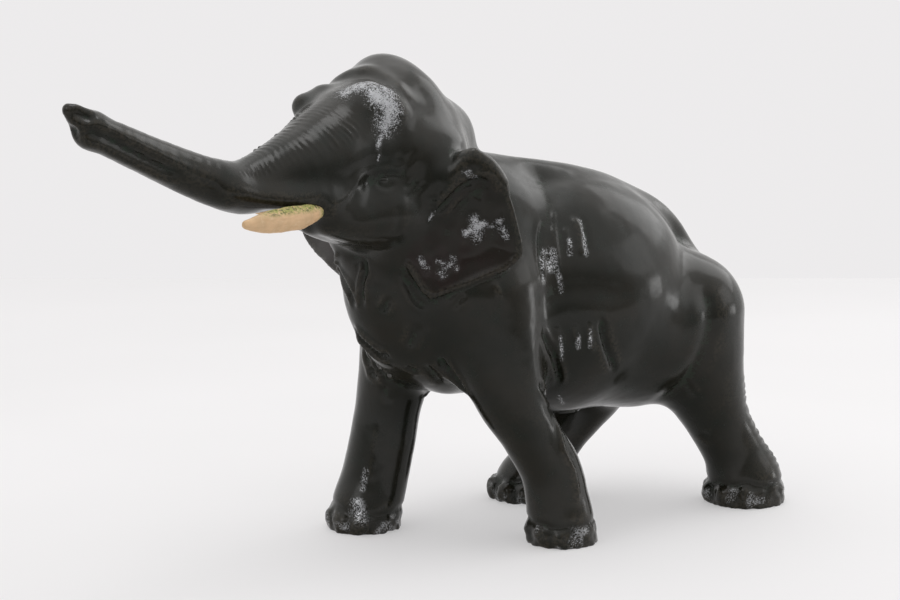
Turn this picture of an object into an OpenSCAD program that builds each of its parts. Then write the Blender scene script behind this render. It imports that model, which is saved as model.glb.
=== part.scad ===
// Striding bronze elephant with a raised trunk: a hollow casting on four feet,
// with bone tusks doweled into the jaw and the core openings closed by plates.
// Millimetres, Z up. The figure faces -X, its left flank is at -Y, and the
// origin is on the ground under the middle of its bounding box.

/* [Overall size] */
// Length from the trunk tip to the tail
overall_length = 358; // [330:1:386]
// Width across the widest feet
overall_width = 104; // [96:1:112]
// Height from the ground to the crown of the head
overall_height = 203; // [187:1:219]

/* [Casting] */
// Wall thickness of the hollow bronze
wall = 4; // [3:0.5:5]
// Sides around each limb
limb_sides = 20; // [16:2:22]
// Facets around each rounded muscle
muscle_sides = 32; // [24:4:36]

/* [Tusks] */
// Diameter of the dowel in each tusk
dowel_d = 3.6; // [3:0.2:4]
// Length of each dowel
dowel_length = 16; // [12:1:18]

/* [Core openings] */
// Diameter of the plates in the front soles
front_sole_d = 21; // [19:0.5:22]
// Diameter of the plates in the hind soles
hind_sole_d = 24; // [20:0.5:25]
// Thickness of the sole plates
sole_thickness = 3; // [2:0.5:4]
// Diameter of the plug under the belly
plug_d = 20; // [16:1:24]

/* [Hidden] */

// The form below is laid out at this size, then brought to the overall size.
form_size = [358, 104, 203];
stretch = [
  overall_length / form_size[0],
  overall_width / form_size[1],
  overall_height / form_size[2]
];

// Radial clearance of every plate, plug and dowel in its seat
fit = 0.05;
// Extra depth that lets a cut run clear of the face it opens
through = 1;
bronze = [0.17, 0.16, 0.14];
bronze_patch = [0.2, 0.18, 0.14];
bone = [0.83, 0.72, 0.55];
dowel_wood = [0.6, 0.45, 0.28];

// The head turns this far to its left, and the ears stand this far off it.
head_turn = 18;
left_ear_flare = 46;
right_ear_flare = 64;
ear_lean = 8;
head_origin = [-19.5, -3, 160];

// Limbs are routes of [x, y, z, radius], joined by a smooth curve.
spine_route = [
  [22, 0, 151.5, 10],
  [68, 0, 147, 9],
  [98, 0, 138, 8.5],
  [122, 0, 128, 8.5],
  [141, 0, 109, 6.5],
  [151, 0, 94, 4.5]
];
tail_route = [[150, 0, 101, 4.8], [162, -1, 85, 3.2], [171, -2, 65, 2.6], [175.5, -3, 46, 2.4], [176, -3, 37, 3]];
chest_route = [[-16.5, -3, 136, 19], [-19.5, -2, 112, 21], [-10, -1, 91, 21], [9, 0, 80, 19]];
neck_route = [[24, 0, 133, 26.5], [11, 0, 139, 24], [-2, 3, 149, 19]];
front_left_leg = [
  [12, -20, 107, 24],
  [15, -27, 83, 19],
  [19.5, -32, 62, 14.6],
  [27, -34, 48, 12.6],
  [36.5, -36, 32, 13],
  [39.5, -37, 19, 13.3],
  [41, -37.5, 9, 14.2],
  [42, -37.5, 0, 14.6]
];
front_right_leg = [
  [2, 18, 95, 21],
  [0, 24, 73, 16.8],
  [-2, 28, 55, 14.4],
  [-4, 30, 38, 14.3],
  [-8, 31, 20, 14.7],
  [-12, 31, 8, 15.4],
  [-13, 31, 0, 15.6]
];
hind_left_leg = [
  [129, -15, 86, 26.5],
  [133, -20, 61, 20.5],
  [141, -23, 40, 14.9],
  [149.5, -26, 23, 14],
  [154.5, -27.5, 10, 17],
  [155, -27.5, 0, 18.2]
];
hind_right_leg = [
  [117, 17, 84, 28],
  [110, 27, 53, 18.4],
  [103, 30, 40, 14.8],
  [94, 32, 28, 12.8],
  [86, 34, 16, 13.1],
  [80, 35, 7, 15.5],
  [78, 35, 0, 16.8]
];
trunk_route = [
  [-48.5, -12.5, 170.5, 19],
  [-72, -20, 163, 16.1],
  [-89, -22.5, 159, 12.1],
  [-103.5, -24.5, 156.5, 10.2],
  [-117, -26.5, 159.5, 9],
  [-130.5, -28, 164.5, 8.1],
  [-143.5, -30, 170, 7.4],
  [-158, -32.5, 176.2, 6.9],
  [-167, -33.5, 180.2, 6.6]
];
trunk_finger = [[-167, -33.5, 181, 6], [-172.5, -34.3, 184.2, 4.4], [-176.4, -35, 187, 2.7]];

// The head's own parts: +X forward, +Y to its left, from the head origin.
crown_route = [[3.5, 0, 22.8, 17.8], [-12, 0, 15.2, 16.5], [-26, 0, 9, 15]];
forehead_route = [[10, 0, 18, 20], [26, 0, 12.5, 19], [42, 0, 7, 16.7]];
brow_route = [[28, 10, 25, 9], [22, 13, 24.5, 8], [20.5, 15, 16, 6.5], [28, 16, 6, 4.5]];
cheek_route = [[-6, 13, -16.5, 13.4], [18, 13, -17, 13.5], [37, 11, -17.5, 10.8], [48, 11.5, -15.6, 8.4], [56, 12, -14, 6.4]];
jaw_route = [[-4, 0, -23.5, 11.5], [28, 0, -23.5, 6.8], [45, 0, -21.5, 4], [52.5, 0, -20, 2.8]];
cranium = [[3.5, 0, 17], [20, 21, 20]];
temples = [[-9, 0, -2.5], [23, 23, 23]];
dome = [[0, 7.5, 29], [14, 14, 14]];
nape = [[-26.5, 0, 8.5], [15.3, 15.3, 15.3]];
jowl = [[14, 8, -7], [24, 13, 12]];
occiput = [[-10, 6.5, 9], [17.3, 17, 18.5]];

// Rounded masses of the body, each a centre and three half sizes.
barrel = [[66.5, 0, 100], [65, 45, 53]];
hips = [[106, 0, 82], [43, 40, 37]];
shoulders = [[18, 0, 110], [42, 36, 46]];

// Each tusk leaves its socket here and runs forward along the trunk.
tusk_root = [50, 12.2, -14];
tusk_yaw = 2;
tusk_neck_d = 8.4;
tusk_neck_length = 12;
left_tusk_length = 57;
right_tusk_length = 28;
right_tusk_rise = 8;
tusk_sides = 20;
// The blade of a tusk beyond its neck: share of its length, outward, up, radius.
tusk_blade = [[0.3, 0.3, 0, 5.2], [0.62, 0.5, 0, 5.2], [0.86, 0.5, -0.3, 3.4], [0.985, 0.5, -0.3, 1.7]];
// How much thinner the blade starts than the neck, and how far back inside it.
blade_overlap = 1;
blade_step = 0.3;

left_ear_hinge = [6.8, 28.8, -18.6];
right_ear_hinge = [10.5, 26.4, -15.6];
ear_thickness = 4;
ear_edge_radius = 3;
ear_hollow_depth = 2;
ear_outline = [
  [0, 8],
  [8, 24],
  [13, 27],
  [20, 21.5],
  [27.5, 9],
  [33, -10],
  [33.5, -16],
  [27, -23],
  [10.5, -29.5],
  [-3.5, -35.5],
  [-16, -17],
  [-13.5, -8.5]
];
// The thick fold along the top of an ear: out from the hinge, up, off the sheet, radius.
ear_fold = [[-5, 8, -5, 7], [3, 15, -3, 6.2], [11, 19.5, -1.4, 4.6], [19, 17.5, -0.4, 3]];

// Every cavity limb is thinner than its leg, which leaves a ledge for the sole.
ledge = 2;
curve_steps = 2;
// Latitudes of the rings that round off the end of a limb
cap_angles = [75, 40];
small_sides = 16;
tail_sides = 10;
core_sides = 12;
core_muscle_sides = 14;

function xyz(p) = [p[0], p[1], p[2]];
function unit(v) = v / norm(v);
function times(p, k) = [p[0] * k[0], p[1] * k[1], p[2] * k[2]];

// A point of the smooth curve between b and c, at t from 0 to 1.
function curve_point(a, b, c, d, t) =
  0.5 * (2 * b + (c - a) * t + (2 * a - 5 * b + 4 * c - d) * t * t + (3 * b - a - 3 * c + d) * t * t * t);

// The route with extra stations along its curve: steps of them for each one given.
function smooth(route, steps) =
  let (
    last = len(route) - 1,
    padded = concat([2 * route[0] - route[1]], route, [2 * route[last] - route[last - 1]])
  )
  [
    for (i = [0 : last - 1], s = [0 : steps - 1])
      curve_point(padded[i], padded[i + 1], padded[i + 2], padded[i + 3], s / steps),
    route[last]
  ];

function heading(path, i) =
  unit(xyz(path[min(i + 1, len(path) - 1)]) - xyz(path[max(i - 1, 0)]));

// Stations of a rounded end: [centre, radius, direction].
function end_stations(p, d, side) =
  [for (a = cap_angles) [xyz(p) + side * d * p[3] * sin(a), p[3] * cos(a), d]];

function stations(path) =
  let (last = len(path) - 1, d0 = heading(path, 0), d1 = heading(path, last), tail_end = end_stations(path[last], d1, 1))
  concat(
    end_stations(path[0], d0, -1),
    [for (i = [0 : last]) [xyz(path[i]), path[i][3], heading(path, i)]],
    [for (i = [len(tail_end) - 1 : -1 : 0]) tail_end[i]]
  );

function ring(station, sides) =
  let (d = station[2], u = unit(cross([0, 1, 0], d)), v = cross(d, u))
  [for (k = [0 : sides - 1]) let (a = 360 * k / sides) station[0] + station[1] * (cos(a) * u + sin(a) * v)];

// A round tube along a route, with rounded ends. grow adds to its radius.
module limb(route, grow = 0, sides = limb_sides, steps = curve_steps) {
  path = [for (p = smooth(route, steps)) [p[0], p[1], p[2], p[3] + grow]];
  rows = stations(path);
  count = len(rows);
  points = [for (s = rows) each ring(s, sides)];
  walls = [
    for (i = [0 : count - 2], k = [0 : sides - 1])
      let (a = i * sides + k, b = i * sides + (k + 1) % sides)
      each [[a, a + sides, b], [b, a + sides, b + sides]]
  ];
  first_cap = [for (k = [0 : sides - 1]) k];
  last_cap = [for (k = [sides - 1 : -1 : 0]) (count - 1) * sides + k];
  polyhedron(points, concat(walls, [first_cap], [last_cap]), convexity = 6);
}

// An ellipsoid given as a centre and half sizes.
module muscle(m, grow = 0, sides = muscle_sides) {
  translate(m[0])
    scale(m[1] + [grow, grow, grow])
      sphere(r = 1, $fn = sides);
}

module head_frame() {
  translate(head_origin)
    rotate([0, 0, 180 + head_turn])
      children();
}

module both_sides() {
  children();
  mirror([0, 1, 0])
    children();
}

module ear(hinge, flare) {
  translate(hinge)
    rotate([0, 0, 180 - flare])
      rotate([90 + ear_lean, 0, 0]) {
        difference() {
          linear_extrude(ear_thickness, center = true)
            ear_shape(0);
          translate([0, 0, ear_thickness / 2 - ear_hollow_depth])
            linear_extrude(ear_thickness)
              ear_shape(ear_edge_radius);
        }
        limb(ear_fold, sides = tail_sides, steps = 1);
      }
}

module ear_shape(inset) {
  offset(r = ear_edge_radius - inset, $fn = 24)
    offset(delta = -ear_edge_radius)
      polygon(ear_outline);
}

module torso() {
  muscle(barrel);
  muscle(hips);
  muscle(shoulders);
  limb(spine_route);
  limb(chest_route);
  limb(neck_route);
  limb(tail_route, sides = tail_sides);
}

module head() {
  muscle(cranium);
  muscle(temples);
  muscle(nape, sides = small_sides);
  limb(crown_route, steps = 1);
  limb(forehead_route, steps = 1);
  limb(jaw_route, sides = small_sides, steps = 1);
  both_sides() {
    muscle(dome, sides = small_sides);
    limb(brow_route, sides = small_sides, steps = 1);
    limb(cheek_route, sides = small_sides, steps = 1);
    muscle(jowl, sides = small_sides);
    muscle(occiput, sides = core_sides);
  }
  ear(left_ear_hinge, left_ear_flare);
  mirror([0, 1, 0])
    ear(right_ear_hinge, right_ear_flare);
}

module legs(grow = 0, sides = limb_sides, steps = curve_steps) {
  for (leg = [front_left_leg, front_right_leg, hind_left_leg, hind_right_leg])
    limb(leg, grow, sides, steps);
}

// The hollow inside: one space from the head down to the four soles.
module core() {
  muscle(barrel, -wall, core_muscle_sides);
  muscle(hips, -wall, core_muscle_sides);
  muscle(shoulders, -wall, core_muscle_sides);
  limb(chest_route, -wall, core_sides, 1);
  limb(neck_route, -wall, core_sides, 1);
  legs(-wall - ledge, core_sides, 1);
  head_frame() {
    muscle(cranium, -wall, core_sides);
    muscle(temples, -wall, core_sides);
  }
}

module below_ground() {
  translate([-overall_length, -overall_width, -overall_height])
    cube([2 * overall_length, 2 * overall_width, overall_height]);
}

// The whole casting before its plates, plug and tusks are let in.
module casting_form() {
  difference() {
    union() {
      torso();
      head_frame()
        head();
      limb(trunk_route);
      limb(trunk_finger, sides = small_sides);
      legs();
    }
    core();
    below_ground();
  }
}

// Where a foot stands at the overall size.
function foot_at(leg) = times([leg[len(leg) - 1][0], leg[len(leg) - 1][1], 0], stretch);

module sole_seat(leg, d) {
  translate(foot_at(leg) - [0, 0, through])
    cylinder(d = d + 2 * fit, h = sole_thickness + through);
}

module sole_plate(leg, d) {
  color(bronze_patch)
    translate(foot_at(leg))
      cylinder(d = d, h = sole_thickness);
}

// The plug stands proud of the thin wall inside the belly.
plug_proud = 2;
plug_at = times([68, 0, 47.6], stretch);
plug_height = wall + plug_proud;

// Turns +X to the direction of a tusk on the given side: 1 left, -1 right.
module tusk_frame(side) {
  translate(times(head_origin, stretch))
    rotate([0, 0, 180 + head_turn])
      translate([tusk_root[0], side * tusk_root[1], tusk_root[2]])
        rotate([0, side < 0 ? -right_tusk_rise : 0, side * tusk_yaw])
          children();
}

module along_x(d, h) {
  rotate([0, 90, 0])
    cylinder(d = d, h = h);
}

module dowel_hole() {
  translate([-dowel_length / 2, 0, 0])
    along_x(dowel_d + 2 * fit, dowel_length);
}

module body_casting() {
  color(bronze)
    difference() {
      resize([overall_length, overall_width, overall_height])
        casting_form();
      sole_seat(front_left_leg, front_sole_d);
      sole_seat(front_right_leg, front_sole_d);
      sole_seat(hind_left_leg, hind_sole_d);
      sole_seat(hind_right_leg, hind_sole_d);
      translate(plug_at - [0, 0, 2 * through])
        cylinder(d = plug_d + 2 * fit, h = plug_height + 4 * through);
      for (side = [-1, 1])
        tusk_frame(side) {
          along_x(tusk_neck_d + 2 * fit, tusk_neck_length + 2 * through);
          dowel_hole();
        }
    }
}

// A blunt leaf of bone: a round neck for the socket, then a deep middle and a worn tip.
module tusk(side, length) {
  blade = length - tusk_neck_length;
  start = tusk_neck_length - blade_overlap;
  color(bone)
    tusk_frame(side)
      difference() {
        union() {
          along_x(tusk_neck_d, tusk_neck_length);
          limb(
            [
              [start, 0, 0, tusk_neck_d / 2 - blade_step],
              for (row = tusk_blade) [start + row[0] * blade, side * row[1], row[2], row[3]]
            ],
            sides = tusk_sides
          );
        }
        dowel_hole();
      }
}

module left_tusk() {
  tusk(1, left_tusk_length);
}

module right_tusk() {
  tusk(-1, right_tusk_length);
}

module dowel(side) {
  color(dowel_wood)
    tusk_frame(side)
      translate([-dowel_length / 2, 0, 0])
        along_x(dowel_d, dowel_length);
}

module left_tusk_dowel() {
  dowel(1);
}

module right_tusk_dowel() {
  dowel(-1);
}

module sole_front_left() {
  sole_plate(front_left_leg, front_sole_d);
}

module sole_front_right() {
  sole_plate(front_right_leg, front_sole_d);
}

module sole_hind_left() {
  sole_plate(hind_left_leg, hind_sole_d);
}

module sole_hind_right() {
  sole_plate(hind_right_leg, hind_sole_d);
}

module belly_plug() {
  color(bronze_patch)
    translate(plug_at)
      cylinder(d = plug_d, h = plug_height);
}

body_casting();
left_tusk();
right_tusk();
left_tusk_dowel();
right_tusk_dowel();
sole_front_left();
sole_front_right();
sole_hind_left();
sole_hind_right();
belly_plug();
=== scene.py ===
"""A cast bronze elephant with a raised trunk, sculpted over its CAD frame and patinated."""

import math

import bpy
import numpy as np
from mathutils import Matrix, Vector


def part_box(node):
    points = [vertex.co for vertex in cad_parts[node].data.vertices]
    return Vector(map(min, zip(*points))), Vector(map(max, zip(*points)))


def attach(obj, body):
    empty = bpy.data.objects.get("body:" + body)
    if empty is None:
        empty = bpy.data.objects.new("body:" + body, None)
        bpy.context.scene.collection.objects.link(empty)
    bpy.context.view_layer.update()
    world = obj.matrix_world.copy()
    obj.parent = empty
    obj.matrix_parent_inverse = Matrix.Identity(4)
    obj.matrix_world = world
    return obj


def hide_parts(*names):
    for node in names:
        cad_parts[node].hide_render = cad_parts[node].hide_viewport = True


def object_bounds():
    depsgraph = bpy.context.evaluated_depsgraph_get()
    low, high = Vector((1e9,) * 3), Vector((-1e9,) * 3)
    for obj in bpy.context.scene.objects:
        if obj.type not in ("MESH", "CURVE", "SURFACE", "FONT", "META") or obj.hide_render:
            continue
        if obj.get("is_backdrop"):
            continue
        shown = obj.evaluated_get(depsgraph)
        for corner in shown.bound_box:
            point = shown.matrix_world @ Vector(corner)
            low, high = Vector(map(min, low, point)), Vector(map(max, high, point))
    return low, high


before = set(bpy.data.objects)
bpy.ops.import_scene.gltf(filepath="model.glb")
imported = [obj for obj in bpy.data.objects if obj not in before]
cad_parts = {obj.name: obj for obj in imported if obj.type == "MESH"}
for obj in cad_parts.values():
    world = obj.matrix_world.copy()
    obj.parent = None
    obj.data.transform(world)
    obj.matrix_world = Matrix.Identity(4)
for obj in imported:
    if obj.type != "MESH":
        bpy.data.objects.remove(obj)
cad_low, cad_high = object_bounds()

# Everything below is laid out in units: the CAD figure stands 203 of them high.
FIGURE_HEIGHT = 203.0
UNIT = (cad_high.z - cad_low.z) / FIGURE_HEIGHT

# ---- clay
# A signed distance field on a grid, negative inside, built up and carved like clay.

FAR = 60.0


class Clay:
    def __init__(self, axes):
        self.axes = [np.asarray(a, np.float32) for a in axes]
        self.field = np.full([len(a) for a in axes], FAR, np.float32)

    def window(self, low, high):
        """The part of the grid between two corners, and its coordinates."""
        cut = []
        for axis, a, b in zip(self.axes, low, high):
            first = max(int(np.searchsorted(axis, a)) - 1, 0)
            last = min(int(np.searchsorted(axis, b)) + 1, len(axis))
            cut.append(slice(first, max(last, first + 1)))
        grids = np.meshgrid(*[axis[s] for axis, s in zip(self.axes, cut)], indexing="ij")
        return tuple(cut), grids

    def merge(self, shape, soft, carve=False):
        """Adds a shape to the clay, or carves it away, with a rounded join."""
        distance, low, high = shape
        reach = soft + 4.0
        cut, grids = self.window(np.asarray(low) - reach, np.asarray(high) + reach)
        new = distance(*grids).astype(np.float32)
        old = self.field[cut]
        if carve:
            join = np.maximum(soft - np.abs(old + new), 0.0)
            self.field[cut] = np.maximum(old, -new) + join * join / (4 * soft)
        else:
            join = np.maximum(soft - np.abs(old - new), 0.0)
            self.field[cut] = np.minimum(old, new) - join * join / (4 * soft)

    def skin(self):
        """Surface nets: one vertex in each cell that the surface crosses, joined by quads."""
        d = self.field
        inside = d < 0
        n = np.array(d.shape)
        corners = [((c >> 2) & 1, (c >> 1) & 1, c & 1) for c in range(8)]
        count = sum(
            inside[i:n[0] - 1 + i, j:n[1] - 1 + j, k:n[2] - 1 + k].astype(np.int8) for i, j, k in corners)
        cells = np.argwhere((count > 0) & (count < 8))
        ids = -np.ones(n - 1, np.int32)
        ids[tuple(cells.T)] = np.arange(len(cells))
        total = np.zeros((len(cells), 3))
        hits = np.zeros(len(cells))
        for corner in corners:
            for axis in range(3):
                if corner[axis]:
                    continue
                other = list(corner)
                other[axis] = 1
                a = d[tuple((cells + corner).T)]
                b = d[tuple((cells + other).T)]
                crossed = (a < 0) != (b < 0)
                place = np.tile(np.array(corner, float), (int(crossed.sum()), 1))
                place[:, axis] = a[crossed] / (a[crossed] - b[crossed])
                total[crossed] += place
                hits[crossed] += 1
        where = cells + total / hits[:, None]
        points = np.stack([np.interp(where[:, i], np.arange(n[i]), self.axes[i]) for i in range(3)], 1)
        quads = []
        for axis in range(3):
            u, v = (axis + 1) % 3, (axis + 2) % 3
            lower = [slice(None)] * 3
            upper = [slice(None)] * 3
            lower[axis], upper[axis] = slice(0, -1), slice(1, None)
            edge = np.argwhere(inside[tuple(lower)] != inside[tuple(upper)])
            edge = edge[(edge[:, u] > 0) & (edge[:, v] > 0)]
            edge = edge[(edge[:, u] < n[u] - 1) & (edge[:, v] < n[v] - 1)]
            ring = []
            for du, dv in ((1, 1), (0, 1), (0, 0), (1, 0)):
                cell = edge.copy()
                cell[:, u] -= du
                cell[:, v] -= dv
                ring.append(ids[tuple(cell.T)])
            ring = np.stack(ring, 1)
            quads.append(np.where(inside[tuple(edge.T)][:, None], ring, ring[:, ::-1]))
        return points, np.concatenate(quads)


def round_cone(a, b, radius_a, radius_b):
    """Two balls and the cone that wraps them."""
    a, b = np.asarray(a, float), np.asarray(b, float)
    axis = b - a
    length2 = max(float(axis @ axis), 1e-6)
    slope = radius_a - radius_b
    wrap2 = length2 - slope * slope

    def distance(x, y, z):
        px, py, pz = x - a[0], y - a[1], z - a[2]
        along = px * axis[0] + py * axis[1] + pz * axis[2]
        beyond = along - length2
        side2 = sum((p * length2 - axis[i] * along) ** 2 for i, p in enumerate((px, py, pz)))
        along2, beyond2 = along * along * length2, beyond * beyond * length2
        limit = np.sign(slope) * slope * slope * side2
        past_b = np.sign(beyond) * wrap2 * beyond2 > limit
        before_a = np.sign(along) * wrap2 * along2 < limit
        body = (np.sqrt(side2 * wrap2 / length2) + along * slope) / length2 - radius_a
        ball_b = np.sqrt(side2 + beyond2) / length2 - radius_b
        ball_a = np.sqrt(side2 + along2) / length2 - radius_a
        return np.where(past_b, ball_b, np.where(before_a, ball_a, body))

    reach_a, reach_b = np.full(3, radius_a), np.full(3, radius_b)
    return distance, np.minimum(a - reach_a, b - reach_b), np.maximum(a + reach_a, b + reach_b)


def ellipsoid(centre, radii, turn=0.0):
    """An ellipsoid whose level axes are turned about Z by this many degrees."""
    c = np.asarray(centre, float)
    r = np.asarray(radii, float)
    cos, sin = math.cos(math.radians(turn)), math.sin(math.radians(turn))

    def distance(x, y, z):
        dx, dy, dz = x - c[0], y - c[1], z - c[2]
        px, py = dx * cos + dy * sin, dy * cos - dx * sin
        near = np.sqrt((px / r[0]) ** 2 + (py / r[1]) ** 2 + (dz / r[2]) ** 2)
        pull = np.sqrt((px / r[0] ** 2) ** 2 + (py / r[1] ** 2) ** 2 + (dz / r[2] ** 2) ** 2)
        return near * (near - 1) / np.maximum(pull, 1e-6)

    reach = np.array([max(r[0], r[1]), max(r[0], r[1]), r[2]]) if turn else r
    return distance, c - reach, c + reach


def curve(route, steps):
    """A smooth curve through the rows of a route, with this many steps between rows."""
    rows = np.array(route, float)
    rows = np.vstack([2 * rows[0] - rows[1], rows, 2 * rows[-1] - rows[-2]])
    out = []
    for a, b, c, d in zip(rows, rows[1:], rows[2:], rows[3:]):
        for t in np.arange(steps) / steps:
            square, cube = 2 * a - 5 * b + 4 * c - d, 3 * b - a - 3 * c + d
            out.append(0.5 * (2 * b + (c - a) * t + square * t * t + cube * t ** 3))
    out.append(rows[-2])
    return np.array(out)


def limb(route, steps=5):
    """A round limb along [x, y, z, radius] rows."""
    path = curve(route, steps)
    pieces = [round_cone(a[:3], b[:3], a[3], b[3]) for a, b in zip(path, path[1:])]

    def distance(x, y, z):
        return np.minimum.reduce([piece[0](x, y, z) for piece in pieces])

    low = np.min([piece[1] for piece in pieces], axis=0)
    high = np.max([piece[2] for piece in pieces], axis=0)
    return distance, low, high


def outline_distance(x, y, outline):
    """Distance to a closed polygon, negative inside."""
    near = np.full(x.shape, 1e9)
    side = np.ones(x.shape)
    for p, q in zip(outline, np.roll(outline, 1, axis=0)):
        ex, ey = q - p
        wx, wy = x - p[0], y - p[1]
        t = np.clip((wx * ex + wy * ey) / (ex * ex + ey * ey), 0, 1)
        near = np.minimum(near, (wx - ex * t) ** 2 + (wy - ey * t) ** 2)
        above, below, left = y >= p[1], y < q[1], ex * wy > ey * wx
        side = np.where((above & below & left) | ~(above | below | left), -side, side)
    return side * np.sqrt(near)


# ---- the elephant
# Millimetre-like units in the CAD's own frame: it faces -X and its left flank is at -Y.

HEAD_TURN = 18.0
HEAD = np.array([-19.5, -3.0, 160.0])
turn = math.radians(HEAD_TURN)
FORWARD = np.array([-math.cos(turn), -math.sin(turn), 0.0])
LEFT = np.array([math.sin(turn), -math.cos(turn), 0.0])
UP = np.array([0.0, 0.0, 1.0])


def at_head(forward, left, up):
    """A point of the head: forward along the face, to its left, and up."""
    return HEAD + forward * FORWARD + left * LEFT + up * UP


def head_limb(route, steps=5):
    return limb([[*at_head(*row[:3]), row[3]] for row in route], steps)


def head_ball(centre, radii):
    return ellipsoid(at_head(*centre), radii, HEAD_TURN)


LEGS = {
    "front_left": [
        [12, -20, 107, 24], [15, -27, 83, 19], [19.5, -32, 62, 14.4], [27, -34, 48, 12.4],
        [36.5, -36, 32, 12.8], [39.5, -37, 19, 13.2], [41, -37.5, 9, 14.2], [42, -37.5, 0, 14.6]],
    "front_right": [
        [2, 18, 95, 21], [0, 24, 73, 16.5], [-2, 28, 55, 14.3], [-4, 30, 38, 14.2],
        [-8, 31, 20, 14.6], [-12, 31, 8, 15.4], [-13, 31, 0, 15.6]],
    "hind_left": [
        [129, -15, 88, 26], [133, -20, 61, 20], [141, -23, 40, 14.6],
        [149.5, -26, 23, 14], [154.5, -27.5, 10, 17], [155, -27.5, 0, 18.2]],
    "hind_right": [
        [118, 18, 86, 28], [110, 27, 53, 18], [103, 30, 40, 14.4],
        [94, 32, 28, 12.6], [86, 34, 16, 13], [80, 35, 7, 15.5], [78, 35, 0, 16.8]],
}
TRUNK = [
    [-48.5, -12.5, 170.5, 19], [-72, -20, 163, 16], [-89, -22.5, 159, 12],
    [-103.5, -24.5, 156.5, 10], [-117, -26.5, 159.5, 8.9], [-130.5, -28, 164.5, 8],
    [-143.5, -30, 170, 7.3], [-158, -32.5, 176.2, 6.8], [-168, -33.5, 180.6, 6.6]]
# Where each ear (1 left, -1 right) hinges on the head, how far it flares, and its outline.
EAR_HINGE = {1: (6.8, 28.8, -18.6), -1: (10.5, -23.8, -14.3)}
EAR_FLARE = {1: 46, -1: 64}
EAR_LEAN = 8.0
EAR_OUTLINE = np.array([
    (0, -8), (8, -24), (13, -27), (20, -21.5), (24, -15.5), (27.5, -9), (30.5, 1),
    (33, 10), (33.5, 16), (31.5, 19.5), (27, 23), (21, 26), (10.5, 29.5), (2.5, 33),
    (-3.5, 35.5), (-7.5, 30.5), (-13, 22), (-16, 17), (-13.5, 8.5), (-6, 4)], float)
EAR_THICK = 4.0


def ear_axes(side):
    """Outward along the ear, down it, and out of its hollow face. side: 1 left, -1 right."""
    a, b = math.radians(EAR_FLARE[side]), math.radians(EAR_LEAN)
    outward = -FORWARD * math.cos(a) + LEFT * side * math.sin(a)
    normal = FORWARD * math.sin(a) + LEFT * side * math.cos(a)
    down = -UP * math.cos(b) - normal * math.sin(b)
    return outward, down, np.cross(down, outward) * side


def ear(side, dish=2.6, edge=2.0):
    """A thin dished flap with a rounded rim."""
    origin = at_head(*EAR_HINGE[side])
    outward, down, normal = ear_axes(side)
    middle = EAR_OUTLINE.mean(0)
    centre = origin + outward * middle[0] + down * middle[1]
    reach = np.abs(EAR_OUTLINE - middle).max() + dish + EAR_THICK

    def distance(x, y, z):
        p = (x - origin[0], y - origin[1], z - origin[2])
        a = sum(p[i] * outward[i] for i in range(3))
        b = sum(p[i] * down[i] for i in range(3))
        h = sum(p[i] * normal[i] for i in range(3))
        rim = outline_distance(a, b, EAR_OUTLINE)
        t = np.clip(-rim / 12, 0, 1)
        bowl = h + dish * t * t * (3 - 2 * t)
        dx, dz = rim + edge, np.abs(bowl) - EAR_THICK / 2 + edge
        outside = np.sqrt(np.maximum(dx, 0) ** 2 + np.maximum(dz, 0) ** 2)
        return np.minimum(np.maximum(dx, dz), 0) + outside - edge

    return distance, centre - reach, centre + reach


def on_ear(side, out, down, rise=1.0):
    """A point on an ear: out from its hinge, down it, and above its middle sheet."""
    axes = ear_axes(side)
    return at_head(*EAR_HINGE[side]) + out * axes[0] + down * axes[1] + rise * axes[2]


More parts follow.
